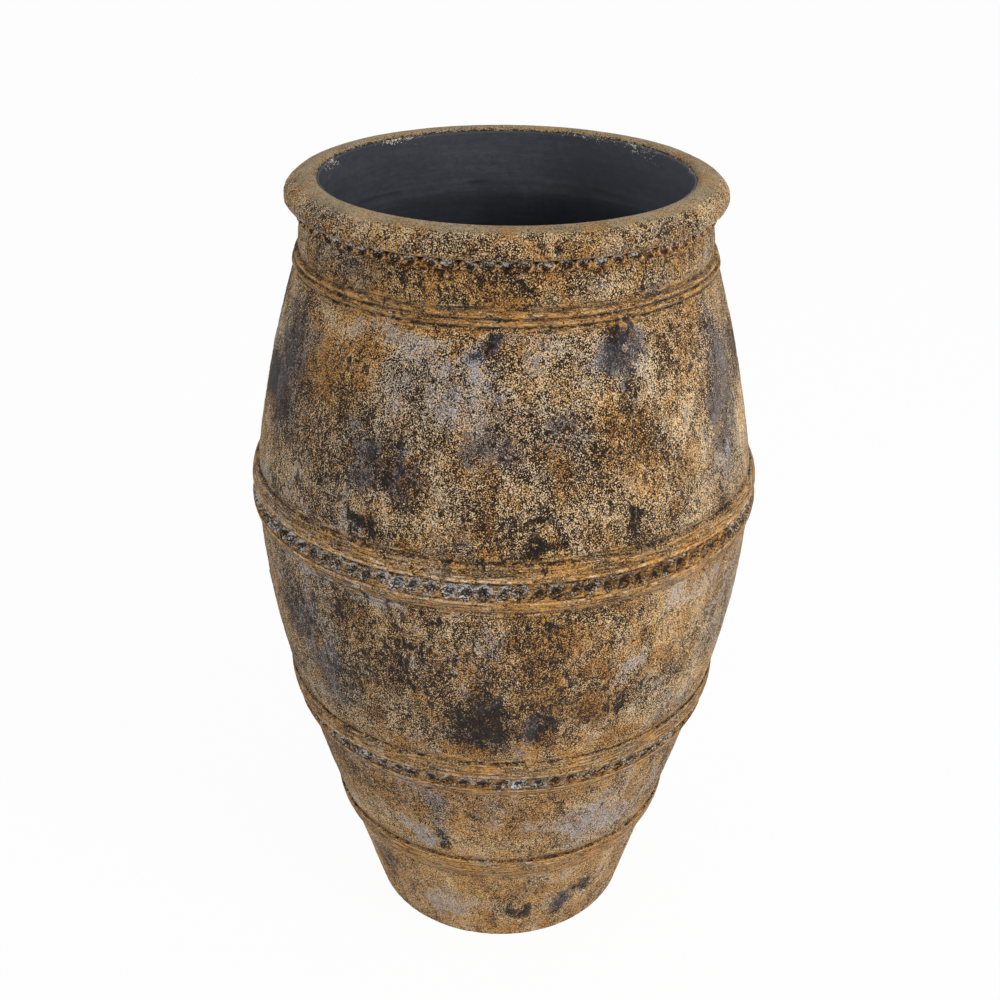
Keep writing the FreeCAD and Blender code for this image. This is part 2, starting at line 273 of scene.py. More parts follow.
def lumps(points, size, seed):
    """Smooth random lumps of about that size, from -1 to 1, at each point."""
    table = np.random.default_rng(seed).uniform(-1, 1, (LATTICE,) * 3)
    place = points / size
    corner = np.floor(place).astype(int)
    share = place - corner
    share = share * share * (3 - 2 * share)
    value = np.zeros(points.shape[:-1])
    for step in np.ndindex(2, 2, 2):
        weight = np.prod(np.where(step, share, 1 - share), axis=-1)
        index = np.moveaxis((corner + step) % LATTICE, -1, 0)
        value += weight * table[tuple(index)]
    return value


def layers(points, size, seed, count=3):
    """Lumps of several sizes, each half as large and half as strong as the one before."""
    value = 0
    whole = 0
    for layer in range(count):
        share = 0.5 ** layer
        value = value + lumps(points, size * share, seed + layer) * share
        whole += share
    return value / whole


def ramp(value, low, high):
    """0 below low, 1 above high, and smooth between them."""
    share = np.clip((value - low) / (high - low), 0, 1)
    return share * share * (3 - 2 * share)


def drift(turn, seed, most):
    """How far a band wanders up and down on its way round."""
    source = np.random.default_rng(seed)
    value = 0
    for waves in (2, 3, 5, 9):
        value = value + np.sin(turn * waves + source.uniform(0, math.tau)) / waves
    return value * most


# Outlines, as rows of radius, height and how far the clay is worked there

def run(radius, height, worked=0):
    columns = np.broadcast_arrays(radius, height, worked)
    return np.stack(columns, axis=-1).astype(float).reshape(-1, 3)


def levels(low, high, step):
    return np.linspace(low, high, max(2, math.ceil(abs(high - low) / step) + 1))


def swollen(start, end, swell, step, worked=0):
    """Rows along an arc that swells to the right of the way from start to end."""
    way = np.array([end[0] - start[0], end[1] - start[1]])
    span = np.hypot(*way)
    across = np.array([way[1], -way[0]]) / span
    share = np.linspace(0, 1, max(2, math.ceil(span / step) + 1))[:, None]
    points = np.array(start) + way * share + across * swell * 4 * share * (1 - share)
    return run(points[:, 0], points[:, 1], worked)


# Steps up the height of a plain face, a worked strip and a face that doesn't show.
PLAIN_STEP = 3 * MM
FINE_STEP = 1.2 * MM
HIDDEN_STEP = 14 * MM
# How far everything wanders up and down, and how near the ground and the lip that starts.
BAND_DRIFT = 0.9 * MM
SWAY_REACH = 80 * MM
# How deep the clay has flaked off, and the strengths of soot where that starts and is full.
FLAKE_DEPTH = 0.8 * MM
FLAKE_SOOT = (0.4, 0.75)
# How fast the working of a wall dies out behind a band, and how much a strip is worked.
SHOW_FADE = 6 * MM
STRIP_WORKED = 0.6
STRIP_EDGE_WORKED = 0.3
# How much the wiped neck and the whole lip are worn smooth.
SMOOTHED = 0.36


# Stains seen on the jar: azimuth from the front in degrees, to the right, height in millimetres,
# half width in degrees, half height in millimetres, and strength.

STAINS = {
    "soot": (
        (-30.5, 713, 3.6, 13, 1), (-34, 722, 2.5, 7, 0.8), (-41, 752, 1.9, 11, 0.8),
        (-25, 785, 5, 23, 0.55), (-37, 800, 3.1, 15, 0.5), (8, 704, 3.8, 7, 1), (6, 741, 1.9, 9, 0.85),
        (28, 722, 1.9, 14, 0.8), (-38, 588, 3.1, 12, 0.8), (-20.5, 580, 2.5, 5, 0.75),
        (-19.5, 520, 1.6, 25, 0.75), (-42, 500, 3.1, 31, 0.5), (-12, 552, 1.1, 14, 0.8),
        (-4.5, 465, 6.4, 46, 0.95), (8.5, 452, 3.8, 20, 0.95), (-5, 545, 3.7, 23, 0.55),
        (28, 470, 2.2, 19, 0.8), (28, 914, 3.6, 16, 0.75), (-3.5, 922, 3, 7, 0.6), (-8, 985, 50, 24, 0.3),
        (-6, 1022, 60, 16, 0.28), (-4, 540, 24, 60, 0.46), (-34, 560, 22, 60, 0.36), (6, 490, 26, 46, 0.42),
        (-34, 770, 22, 60, 0.34), (-60, 800, 16, 130, 0.15), (10, 760, 34, 70, 0.24),
        (-62, 480, 14, 150, 0.2), (10, 590, 3.7, 20, 0.5), (12, 540, 3.1, 18, 0.45),
        (-18, 222, 1.6, 15, 0.85), (-7.5, 285, 2.5, 7, 0.6), (9, 54, 6, 9, 0.95), (-50, 92, 5, 26, 0.55),
        (10, 118, 4.3, 18, 0.45), (25, 62, 3.5, 16, 0.9), (36, 84, 4.5, 12, 0.9), (3.5, 980, 2.5, 4, 0.8),
        (-45, 976, 2.5, 5, 0.6), (30, 860, 2.5, 35, 0.45), (-64, 838, 3.7, 51, 0.55),
        (-60, 700, 3.1, 12, 0.5), (44, 860, 3.1, 31, 0.4), (19, 800, 1.9, 11, 0.4),
        (-14, 610, 3.1, 11, 0.5), (55, 700, 3.1, 15, 0.5), (-30, 640, 2.5, 9, 0.3),
        (60, 300, 3.7, 17, 0.45), (0, 1041, 3.1, 4, 0.5), (-4, 1020, 1.9, 5, 0.8), (12, 1022, 1.5, 5, 0.8),
    ),
    "slate": (
        (-4, 920, 4, 10, 0.9), (28, 912, 5.5, 22, 0.95), (61, 830, 6, 84, 0.85), (2, 830, 12, 36, 0.7),
        (-28, 790, 12, 36, 0.55), (42, 970, 6, 8, 0.7), (-62, 850, 8, 70, 0.75), (-42, 470, 8, 50, 0.5),
        (-17, 290, 3, 40, 0.45), (-20, 860, 8, 30, 0.35), (33, 300, 6, 16, 0.3), (25, 62, 5, 20, 0.6),
        (35, 78, 6, 22, 0.6), (-54, 560, 8, 60, 0.45), (60, 540, 8, 60, 0.35), (46, 420, 8, 20, 0.3),
        (10, 452, 5, 24, 0.5), (-52, 110, 7, 30, 0.45), (-50, 1035, 9, 12, 0.35), (40, 1036, 8, 12, 0.3),
    ),
    "haze": (
        (-14, 880, 14, 34, 0.55), (-28, 925, 12, 10, 0.65), (6, 930, 8, 8, 0.45), (33.5, 892, 1.8, 26, 0.5),
        (30.5, 530, 4, 24, 0.7), (-45, 720, 14, 40, 0.3), (-25, 220, 6, 12, 0.85), (31, 236, 12, 40, 0.6),
        (13, 254, 9, 14, 0.6), (-56, 225, 5, 26, 0.55), (-20, 66, 16, 22, 0.65), (-17, 300, 3, 30, 0.5),
        (20, 975, 10, 12, 0.3), (47, 610, 12, 18, 0.45), (-8, 560, 12, 30, 0.35), (58, 740, 8, 22, 0.45),
        (-40, 628, 24, 9, 0.75), (-48, 664, 30, 12, 0.6), (-12, 658, 14, 10, 0.6), (-50, 700, 24, 10, 0.5),
        (2, 360, 14, 7, 0.6), (-36, 360, 20, 12, 0.6), (-30, 334, 20, 6, 0.6), (-48, 540, 10, 60, 0.35),
        (45, 250, 12, 36, 0.4), (-10, 437, 4, 22, 0.4), (14, 905, 10, 16, 0.25), (66, 560, 10, 80, 0.35),
        (-3, 186, 20, 4, 0.6), (-36, 700, 10, 12, 0.4), (40, 330, 20, 5, 0.5), (-62, 1000, 10, 30, 0.25),
    ),
    "rust": (
        (-38, 905, 7, 24, 0.5), (25, 655, 26, 14, 0.75), (14, 560, 9, 50, 0.5), (-6, 412, 22, 9, 0.6),
        (30, 402, 22, 9, 0.6), (-20, 700, 20, 8, 0.3), (-42, 340, 18, 10, 0.5), (10, 342, 30, 6, 0.7),
        (-46, 870, 9, 30, 0.45), (32, 1004, 26, 8, 0.6), (-20, 945, 26, 8, 0.5), (58, 620, 12, 30, 0.5),
        (-22, 290, 12, 30, 0.4), (4, 130, 9, 20, 0.5), (22, 165, 16, 14, 0.6), (28, 800, 5, 50, 0.35),
        (0, 655, 16, 9, 0.35), (16, 470, 14, 40, 0.4), (-50, 660, 14, 10, 0.4), (68, 400, 8, 60, 0.35),
        (0, 90, 80, 110, 0.4), (0, 290, 60, 60, 0.35), (20, 560, 40, 60, 0.25), (0, 980, 60, 50, 0.3),
    ),
    "bright": (
        (-29, 740, 7, 12, 0.8), (5, 860, 5, 70, 0.6), (-12, 560, 5, 60, 0.35), (22, 520, 16, 90, 0.2),
        (2, 640, 40, 4, 0.5), (45, 830, 6, 60, 0.45), (36, 560, 12, 60, 0.2), (0, 210, 14, 22, 0.25),
        (-18, 120, 16, 30, 0.5), (8, 90, 20, 50, 0.35), (50, 120, 16, 60, 0.4), (60, 470, 14, 60, 0.2),
        (70, 780, 10, 120, 0.6), (-8, 780, 7, 30, 0.3), (35, 760, 6, 30, 0.4), (33.5, 892, 2, 28, 1),
        (0, 1044, 70, 6, 0.4), (12, 660, 10, 5, 0.4), (40, 970, 14, 20, 0.35), (40, 440, 10, 30, 0.5),
        (0, 90, 80, 110, 0.6),
    ),
    "red": ((-16, 648, 0.7, 1.6, 1),),
}
# Further stains on the sides that the front doesn't show: how many of each kind, how much weaker
# some kinds are, and the ranges that their sizes, heights, tallness and strengths are drawn from.
UNSEEN = {"soot": 34, "slate": 18, "haze": 26, "rust": 20, "bright": 18}
UNSEEN_POWER = {"rust": 0.5, "bright": 0.7}
UNSEEN_HALF_WIDTH = 9
UNSEEN_HALF_HEIGHT = 44 * MM
UNSEEN_START = 74
UNSEEN_SIZES = (0.25, 1)
UNSEEN_HEIGHTS = (0.04, 1.02)
UNSEEN_TALLNESS = (0.5, 1.2)
UNSEEN_STRENGTHS = (0.45, 1)


@functools.cache
def all_stains():
    """Every stain: those seen in front, then others like them on the unseen sides."""
    source = np.random.default_rng(7)
    found = {}
    for kind, rows in STAINS.items():
        made = [(azimuth, height * MM, wide, high * MM, power) for azimuth, height, wide, high, power in rows]
        for _ in range(UNSEEN.get(kind, 0)):
            size = source.uniform(*UNSEEN_SIZES)
            made.append((
                source.uniform(UNSEEN_START, 360 - UNSEEN_START),
                source.uniform(*UNSEEN_HEIGHTS),
                UNSEEN_HALF_WIDTH * size,
                UNSEEN_HALF_HEIGHT * size * source.uniform(*UNSEEN_TALLNESS),
                source.uniform(*UNSEEN_STRENGTHS) * UNSEEN_POWER.get(kind, 1),
            ))
        found[kind] = made
    return found


# Painted shade in the corners and creases and painted highlights on the ridges: height, half height, kind and
# strength.

@functools.cache
def worked_lines():
    lines = []

    def add(height, half, kind, power):
        lines.append((height, half * MM, kind, power))

    for name, power in (("lower", 0.9), ("belly", 1)):
        low = name + "_band_lower_fillet"
        strip = name + "_band_impressed_strip"
        high = name + "_band_upper_fillet"
        # Dark lines are painted shade in the band's creases; bright lines are painted highlights on its
        # edges.
        add(bottom(low), 2.4, "groove", 0.65 * power)
        add(bottom(strip) + 0.4 * MM, 1.6, "groove", 0.5 * power)
        add(top(strip) - 1.2 * MM, 1.8, "groove", power)
        add(top(high) - 0.5 * MM, 2.4, "groove", 0.65 * power)
        add(bottom(strip) - 2.2 * MM, 2.4, "ridge", power)
        add(bottom(high) + 2.4 * MM, 2.4, "ridge", power)
        add(bottom(low) + 2.5 * MM, 1.4, "ridge", 0.5)
        add(top(high) - 4 * MM, 1.5, "ridge", 0.35)
    add(top("foot_collar") + 0.6 * MM, 1.8, "groove", 0.6)
    add(top("foot_collar") - 2.4 * MM, 1.8, "ridge", 0.8)
    add(bottom("foot_collar"), 1.8, "groove", 0.45)
    add(bottom("neck_base_lower_coil") - 0.6 * MM, 1.8, "groove", 1)
    add(bottom("neck_base_upper_coil"), 1.3, "groove", 0.7)
    add(top("neck_base_upper_coil") + 0.8 * MM, 1.4, "groove", 0.6)
    add(top("neck_base_upper_coil") - 3.4 * MM, 1.6, "ridge", 0.8)
    add(top("neck_base_lower_coil") - 3.4 * MM, 1.6, "ridge", 0.5)
    add(bottom("rim_crimped_strip"), 1.4, "groove", 0.5)
    add(top("rim_crimped_strip") + 0.6 * MM, 1.6, "groove", 1)
    add(top("rim_crimped_strip") + 3 * MM, 1.3, "ridge", 0.75)
    # A line of painted shade where the foot meets the ground.
    add(0, 3, "groove", 0.8)
    return lines


MARKS = ("soot", "slate", "haze", "rust", "bright", "red", "groove", "ridge", "wiped", "smooth", "hollow")
STAIN_REACH = 1.8
STAIN_FADE = 1.3
STAIN_LOBES = 26 * MM
STAIN_SPREAD = 34 * MM
STAIN_SPREAD_DEGREES = 5
WIPED_REACH = 22 * MM


@functools.cache
def wiped_zones():
    """Stretches that a wet hand has wiped smooth, with the clay beside them."""
    return (
        (bottom("foot_collar"), top("foot_collar")),
        (bottom("lower_band_lower_fillet"), top("lower_band_upper_fillet")),
        (bottom("belly_band_lower_fillet"), top("belly_band_upper_fillet")),
        (bottom("neck_base_lower_coil"), top("neck_base_upper_coil")),
    )


def blank_marks(points):
    return {kind: np.zeros(points.shape[:2]) for kind in MARKS}


def marks_at(points, degrees, heights):
    """How strong each kind of mark is at each point of a piece, by rows of height and columns of azimuth."""
    made = blank_marks(points)
    spread_up = layers(points, STAIN_LOBES, 43, 4) * STAIN_SPREAD
    spread_aside = layers(points, STAIN_LOBES * 0.8, 49, 4) * STAIN_SPREAD
    for kind, stains in all_stains().items():
        for azimuth, level, wide, high, power in stains:
            aside = (degrees - azimuth + 180) % 360 - 180
            away = heights - level
            rows = np.flatnonzero(np.abs(away) < STAIN_REACH * high + STAIN_SPREAD / 2)
            columns = np.flatnonzero(np.abs(aside) < STAIN_REACH * wide + STAIN_SPREAD_DEGREES / 2)
            block = np.ix_(rows, columns)
            up = (away[rows][:, None] + spread_up[block]) / high
            across = (aside[columns] + spread_aside[block] / STAIN_SPREAD * STAIN_SPREAD_DEGREES) / wide
            near = STAIN_REACH - np.hypot(up, across)
            made[kind][block] = np.maximum(made[kind][block], ramp(near, 0, STAIN_FADE) * power)
    broken = 0.45 + 0.55 * ramp(lumps(points, 6 * MM, 53), -0.4, 0.4)
    for level, half, kind, power in worked_lines():
        mark = np.exp(-((heights - level) / half) ** 2) * power
        made[kind] = np.maximum(made[kind], mark[:, None] * broken)
    for low, high in wiped_zones():
        beyond = np.maximum(np.maximum(low - heights, heights - high), 0)
        made["wiped"] = np.maximum(made["wiped"], ramp(1 - beyond / WIPED_REACH, 0, 1)[:, None])
    return made


# Pieces

def worked_clay(points, worked):
    """How far the plain clay stands out or lies back."""
    swing = lumps(points, 110 * MM, 3) * 0.8
    ripple = layers(points, 30 * MM, 5, 3) * 0.7
    grit = lumps(points, 5 * MM, 8) * 0.35
    pits = -ramp(lumps(points, 8 * MM, 11), 0.45, 0.85) * 0.7
    return (swing + ripple + grit + pits) * MM * worked


def faces_of(index, closed):
    """Quads, and triangles at the axis, over a grid of vertex numbers."""
    below = index if closed else index[:-1]
    above = np.roll(index, -1, axis=0) if closed else index[1:]
    corners = np.stack([below, np.roll(below, -1, axis=1), np.roll(above, -1, axis=1), above], axis=-1)
    corners = corners.reshape(-1, 4)
    low_pole = corners[:, 0] == corners[:, 1]
    high_pole = corners[:, 2] == corners[:, 3]
    quads = corners[~low_pole & ~high_pole]
    triangles = np.vstack([corners[low_pole][:, 1:], corners[high_pole][:, :3]])
    return quads, triangles


def fill_mesh(mesh, points, quads, triangles):
    corners = np.concatenate([quads.ravel(), triangles.ravel()])
    sizes = np.repeat([4, 3], [len(quads), len(triangles)])
    mesh.vertices.add(len(points))
    mesh.vertices.foreach_set("co", points.ravel())
    mesh.loops.add(len(corners))
    mesh.loops.foreach_set("vertex_index", corners)
    mesh.polygons.add(len(sizes))
    mesh.polygons.foreach_set("loop_start", np.cumsum(sizes) - sizes)
    mesh.update(calc_edges=True)
    if mesh.validate():
        raise RuntimeError("The mesh %s had to be mended" % mesh.name)
    mesh.shade_smooth()


def turned(node, outline, material, relief=None, segments=None, stained=True):
    """Turns an outline into the piece that stands for a node, works its clay and marks it."""
    turn = np.linspace(0, math.tau, segments or shape().segments, endpoint=False)
    turn, radius = np.meshgrid(turn, outline[:, 0])
    height = np.broadcast_to(outline[:, 1:2], radius.shape)
    worked = np.broadcast_to(outline[:, 2:3], radius.shape)
    lowest, highest = (np.array(corner) for corner in CAD_BOX)
    held = ramp(height, 0, SWAY_REACH) * ramp(highest[2] - height, 0, SWAY_REACH)
    sway = drift(turn, 29, BAND_DRIFT) * held

    def placed(outward, upward):
        far = radius + outward
        return np.stack([far * np.sin(turn), -far * np.cos(turn), height + upward], axis=-1)

    bare = placed(0, 0)
    marks = marks_at(bare, np.degrees(turn[0]), outline[:, 1]) if stained else blank_marks(bare)
    outward = worked_clay(bare, worked) - FLAKE_DEPTH * ramp(marks["soot"], *FLAKE_SOOT) * worked
    if relief:
        more, extra = relief(bare, turn, radius, height, worked)
        outward = outward + more
        for kind, mark in extra.items():
            marks[kind] = np.maximum(marks[kind], mark)
    points = placed(outward, sway)
    points = np.clip(points, lowest, highest)

    closed = not (outline[0, 0] == 0 and outline[-1, 0] == 0)
    rows, columns = radius.shape
    index = np.arange(rows * columns).reshape(rows, columns)
    kept = np.ones(index.size, bool)
    for row in np.flatnonzero(outline[:, 0] == 0):
        kept[index[row, 1:]] = False
        index[row] = index[row, 0]
    renumbered = np.cumsum(kept) - 1
    quads, triangles = faces_of(renumbered[index], closed)
    mesh = bpy.data.meshes.new(node)
    fill_mesh(mesh, points.reshape(-1, 3)[kept], quads, triangles)
    for kind, values in marks.items():
        attribute = mesh.attributes.new(kind, "FLOAT", "POINT")
        attribute.data.foreach_set("value", values.ravel()[kept].astype(np.float32))
    mesh.materials.append(material)
    piece = bpy.data.objects.new(node + "_clay", mesh)
    bpy.context.scene.collection.objects.link(piece)
    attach(piece, BODY)
    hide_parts(node)


def shown(height, low, high):
    """1 on the stretch of wall that shows, and less and less behind the bands."""
    return np.clip((height - low) / SHOW_FADE + 1, 0, 1) * np.clip((high - height) / SHOW_FADE + 1, 0, 1)


def wall_section(node, above, joint_low, lap_low, show_low, show_high, material):
    """A ring of wall between two lap joints."""
    wall = Wall()
    sizes = shape()
    half = sizes.wall / 2
    joint_high = bottom(above)
    lap_high = top(node)
    heights = levels(joint_low, joint_high, PLAIN_STEP)
    low_step = wall.radius(joint_low) - half + sizes.gap
    high_step = wall.radius(joint_high) - half
    inner = levels(lap_high, lap_low, HIDDEN_STEP)
    turned(node, np.vstack([
        run(low_step, joint_low),
        run(wall.radius(heights), heights, shown(heights, show_low, show_high)),
        run(high_step, [joint_high, lap_high]),
        run(wall.radius(inner) - sizes.wall, inner),
        run(low_step, lap_low),
    ]), material)


def make_foot():
    """The slab in the foot, and the foot's cone on its flange."""
    wall = Wall()
    sizes = shape()
    clay = weathered_clay("foot_clay")
    half = sizes.wall / 2
    round_edge = sizes.base_edge_round
    flange = bottom("foot_section")
    slab_top = top("base_disc")
    bend = np.linspace(-math.pi / 2, 0, 5)
    heights = levels(round_edge, flange, PLAIN_STEP)
    centre = wall.radius(round_edge) - round_edge
    turned("base_disc", np.vstack([
        run(0, 0),
        run(levels(centre / 2, centre, HIDDEN_STEP * 2), 0),
        run(centre + round_edge * np.cos(bend), round_edge + round_edge * np.sin(bend), 0.5),
        run(wall.radius(heights[1:]), heights[1:], 1),
        run(sizes.base_plug_radius, [flange, slab_top]),
        run(sizes.base_plug_radius / 2, slab_top),
        run(0, slab_top),
    ]), clay)
    joint = bottom("lower_section")
    lap = top("foot_section")
    heights = levels(flange, joint, PLAIN_STEP)
    inner = levels(lap, flange, HIDDEN_STEP)
    turned("foot_section", np.vstack([
        run(wall.radius(heights), heights, shown(heights, 0, bottom("foot_collar"))),
        run(wall.radius(joint) - half, [joint, lap]),
        run(wall.radius(inner) - sizes.wall, inner),
    ]), clay)


def make_walls():
    """The lower section, the belly and the shoulder, between their lap joints."""
    clay = weathered_clay("wall_clay")
    lower_joint = bottom("lower_section")
    wall_section(
        "lower_section", "belly_section", lower_joint, top("foot_section"),
        top("foot_collar"), bottom("lower_band_lower_fillet"), clay)
    wall_section(
        "belly_section", "shoulder_section", bottom("belly_section"), top("lower_section"),
        top("lower_band_upper_fillet"), bottom("belly_band_lower_fillet"), clay)
    wall_section(
        "shoulder_section", "neck_section", bottom("shoulder_section"), top("belly_section"),
        top("belly_band_upper_fillet"), bottom("neck_base_lower_coil"), clay)


def tool_lines(points, turn, radius, height, worked):
    """Fine lines left by a wet rib held against the turning neck."""
    seat = top("neck_base_upper_coil")
    strip = bottom("rim_crimped_strip")
    near = np.exp(-((height - seat) / (12 * MM)) ** 2) + np.exp(-((strip - height) / (10 * MM)) ** 2)
    wander = lumps(points, 60 * MM, 61) * 2 + drift(turn, 62, 1)
    lines = np.sin(height / (4.4 * MM) * math.tau + wander * 1.5)
    return lines * 0.28 * MM * near * worked, {"smooth": np.full(lines.shape, SMOOTHED)}


def make_neck():
    """The short neck, whose bore closes in to the mouth."""
    wall = Wall()
    sizes = shape()
    joint = bottom("neck_section")
    lap = top("shoulder_section")
    neck_top = top("neck_section")
    seat_top = top("neck_base_upper_coil")
    step = wall.radius(joint) - sizes.wall / 2 + sizes.gap
    heights = levels(joint, neck_top, PLAIN_STEP / 1.5)
    bore = sizes.mouth_radius + sizes.lining
    turned("neck_section", np.vstack([
        run(step, joint),
        run(wall.radius(heights), heights, shown(heights, seat_top, bottom("rim_crimped_strip"))),
        run([bore, wall.radius(seat_top) - sizes.wall], [neck_top, seat_top]),
        run(wall.radius(lap) - sizes.wall, lap),
        run(step, lap),
    ]), weathered_clay("neck_clay"), relief=tool_lines)


def strip_outline(node, face):
    """A strip's face, with both its edges sunk into the wall behind it."""
    edges = [run(Wall().radius(height) - shape().sink, height) for height in reach(node)]
    return np.vstack([edges[0], face, edges[1]])


def ring_on(node, low_proud, high_proud, swell, seed, material, lip=0):
    """A smooth strip on the wall. lip is 1 where its top overhangs a pressed strip, -1 for its bottom."""
    wall = Wall()
    low, high = reach(node)
    start = (wall.radius(low) + low_proud, low)
    end = (wall.radius(high) + high_proud, high)
    face = swollen(start, end, swell, FINE_STEP * 1.25, STRIP_WORKED)
    face[0, 2] = face[-1, 2] = STRIP_EDGE_WORKED

    def uneven(points, turn, radius, height, worked):
        soft = layers(points, 46 * MM, seed, 2) * 0.55 - 0.2
        wiped = np.sin(height / (3.4 * MM) * math.tau + drift(turn, seed, 2)) * 0.14
        edge = high - height if lip > 0 else height - low
        overhang = np.exp(-(edge / (2.4 * MM)) ** 2) * 0.5 * abs(lip)
        chips = ramp(lumps(points, 9 * MM, seed + 5), 0.4, 0.8) * overhang * 2.4
        return (soft + wiped + overhang - chips) * MM * worked, {}

    outline = strip_outline(node, face)
    turned(node, outline, material, relief=uneven, segments=shape().segments * 4 // 3)


def pressed_strip(node, proud, presses, half_width, half_height, depth, seed, material):
    """A strip with a row of thumb presses, each a little different, with thin leaning webs between them."""
    low, high = reach(node)
    source = np.random.default_rng(seed)
    pitch = math.tau / presses
    shift = source.normal(0, 0.06, presses) * pitch
    rise = source.normal(0, 0.5, presses) * MM
    wide = half_width * source.uniform(0.9, 1.08, presses)
    tall = half_height * source.uniform(0.9, 1.08, presses)
    deep = depth * source.uniform(0.75, 1.15, presses)
    lean = source.uniform(0.2, 0.65, presses)
    limed = source.uniform(0.55, 1, presses)
    middle = (low + high) / 2

    def pressed(points, turn, radius, height, worked):
        which = np.round(turn / pitch).astype(int) % presses
        aside = (turn - which * pitch - shift[which] + math.pi) % math.tau - math.pi
        rising = height - middle - rise[which]
        across = (aside * radius - rising * lean[which]) / wide[which]
        along = rising / tall[which]
        away = np.hypot(across, along) + lumps(points, 5 * MM, seed) * 0.14
        cup = np.clip(1 - away ** 2, 0, 1) ** 0.8
        under_lip = np.exp(-((high - height) / (2 * MM)) ** 2) * 1.6 * MM
        outward = (-deep[which] * cup - under_lip) * worked
        # Painted shade: each press is darkened in its core, in a crescent along its lower edge and over its
        # inside. The arch on its upper part and its inside get lime flecks, laid over more painted shade.
        arch = np.exp(-((away - 0.72) / 0.3) ** 2) * ramp(along, -0.5, 0.35)
        core = ramp(0.62 - np.hypot(across * 0.8, along + 0.22), 0, 0.35)
        crescent = np.exp(-((away - 0.92) / 0.12) ** 2) * ramp(-along, 0.1, 0.7)
        inside = ramp(1.22 - away, 0, 0.3)
        marks = {
            "hollow": np.maximum(arch, inside * 0.5) * limed[which],
            "groove": np.maximum(np.maximum(core * 0.8, crescent * 0.6), inside * 0.36) * worked,
            "rust": ramp(away, 0.85, 1.1) * 0.35,
        }
        return outward, marks

    heights = levels(low, high, FINE_STEP)
    edge = np.clip(np.minimum(heights - low, high - heights) / (2 * MM), 0, 1)
    outline = strip_outline(node, run(Wall().radius(heights) + proud, heights, edge))
    turned(node, outline, material, relief=pressed, segments=shape().pressed_segments)


def make_bands():
    """The belly band and the lower band, each of three strips."""
    sizes = shape()
    clay = weathered_clay("band_clay", streaky=True)
    presses = (
        ("belly", sizes.belly_presses, 10.2, 10.6, 5.6, 101),
        ("lower", sizes.lower_presses, 10.8, 9.4, 5.2, 202),
    )
    for name, number, half_width, half_height, depth, seed in presses:
        edge = getattr(sizes, name + "_edge_proud")
        lip = getattr(sizes, name + "_lip_proud")
        swell = getattr(sizes, name + "_round")
        ring_on(name + "_band_lower_fillet", edge, lip, swell, seed, clay, lip=1)
        ring_on(name + "_band_upper_fillet", lip, edge, swell, seed + 1, clay, lip=-1)
        pressed_strip(
            name + "_band_impressed_strip", getattr(sizes, name + "_strip_proud"), number,
            half_width * MM, half_height * MM, depth * MM, seed + 2, clay)


def make_collars():
    """The collar over the foot joint and the double coil at the base of the neck."""
    sizes = shape()
    clay = weathered_clay("collar_clay", streaky=True)
    ring_on("foot_collar", sizes.collar_low_proud, sizes.collar_high_proud, sizes.collar_round, 303, clay)
    for name, seed in (("neck_base_lower_coil", 311), ("neck_base_upper_coil", 317)):
        ring_on(name, sizes.coil_edge, sizes.coil_edge, sizes.coil_round, seed, clay)


def crimped(points, turn, radius, height, worked):
    """A row of small arches pinched between finger ends, each over a pit."""
    low = bottom("rim_crimped_strip")
    tall = top("rim_crimped_strip") - low
    number = shape().crimps
    source = np.random.default_rng(404)
    pitch = math.tau / number
    shift = source.normal(0, 0.06, number) * pitch
    deep = source.uniform(2.6, 4.2, number) * MM
    size = source.uniform(0.88, 1.12, number)
    which = np.round(turn / pitch).astype(int) % number
    aside = np.abs((turn - which * pitch - shift[which] + math.pi) % math.tau - math.pi) / pitch
    share = (height - low) / tall
    ragged = lumps(points, 4 * MM, 405) * 0.12
    away = np.hypot(aside / 0.35, (share - 0.38 - aside * 0.3) / 0.46) / size[which] + ragged
    pit = np.clip(1 - away ** 2, 0, 1)
    arch_top = 1.06 - 2.2 * aside ** 2
    gap = ramp(share - arch_top + ragged * 0.5, -0.04, 0.1)
    shaded = 0.35 + 0.35 * ramp(0.5 - share, 0, 0.35)
    # Painted shade in the gaps between the arches and in the pits, and a painted highlight round each pit.
    # The pits also get lime flecks over more painted shade.
    marks = {
        "groove": np.maximum(gap * 0.9, ramp(1.1 - away, 0, 0.4) * shaded) * worked,
        "hollow": ramp(1.35 - away, 0, 0.4) * (0.25 + 0.45 * ramp(share, 0.25, 0.5)) * (1 - gap),
        "rust": ramp(away, 0.9, 1.2) * (1 - gap) * 0.35,
        "ridge": np.exp(-((away - 1.2) / 0.16) ** 2) * (1 - gap) * 0.9,
    }
    return -(deep[which] * pit + 3 * MM * gap) * worked, marks


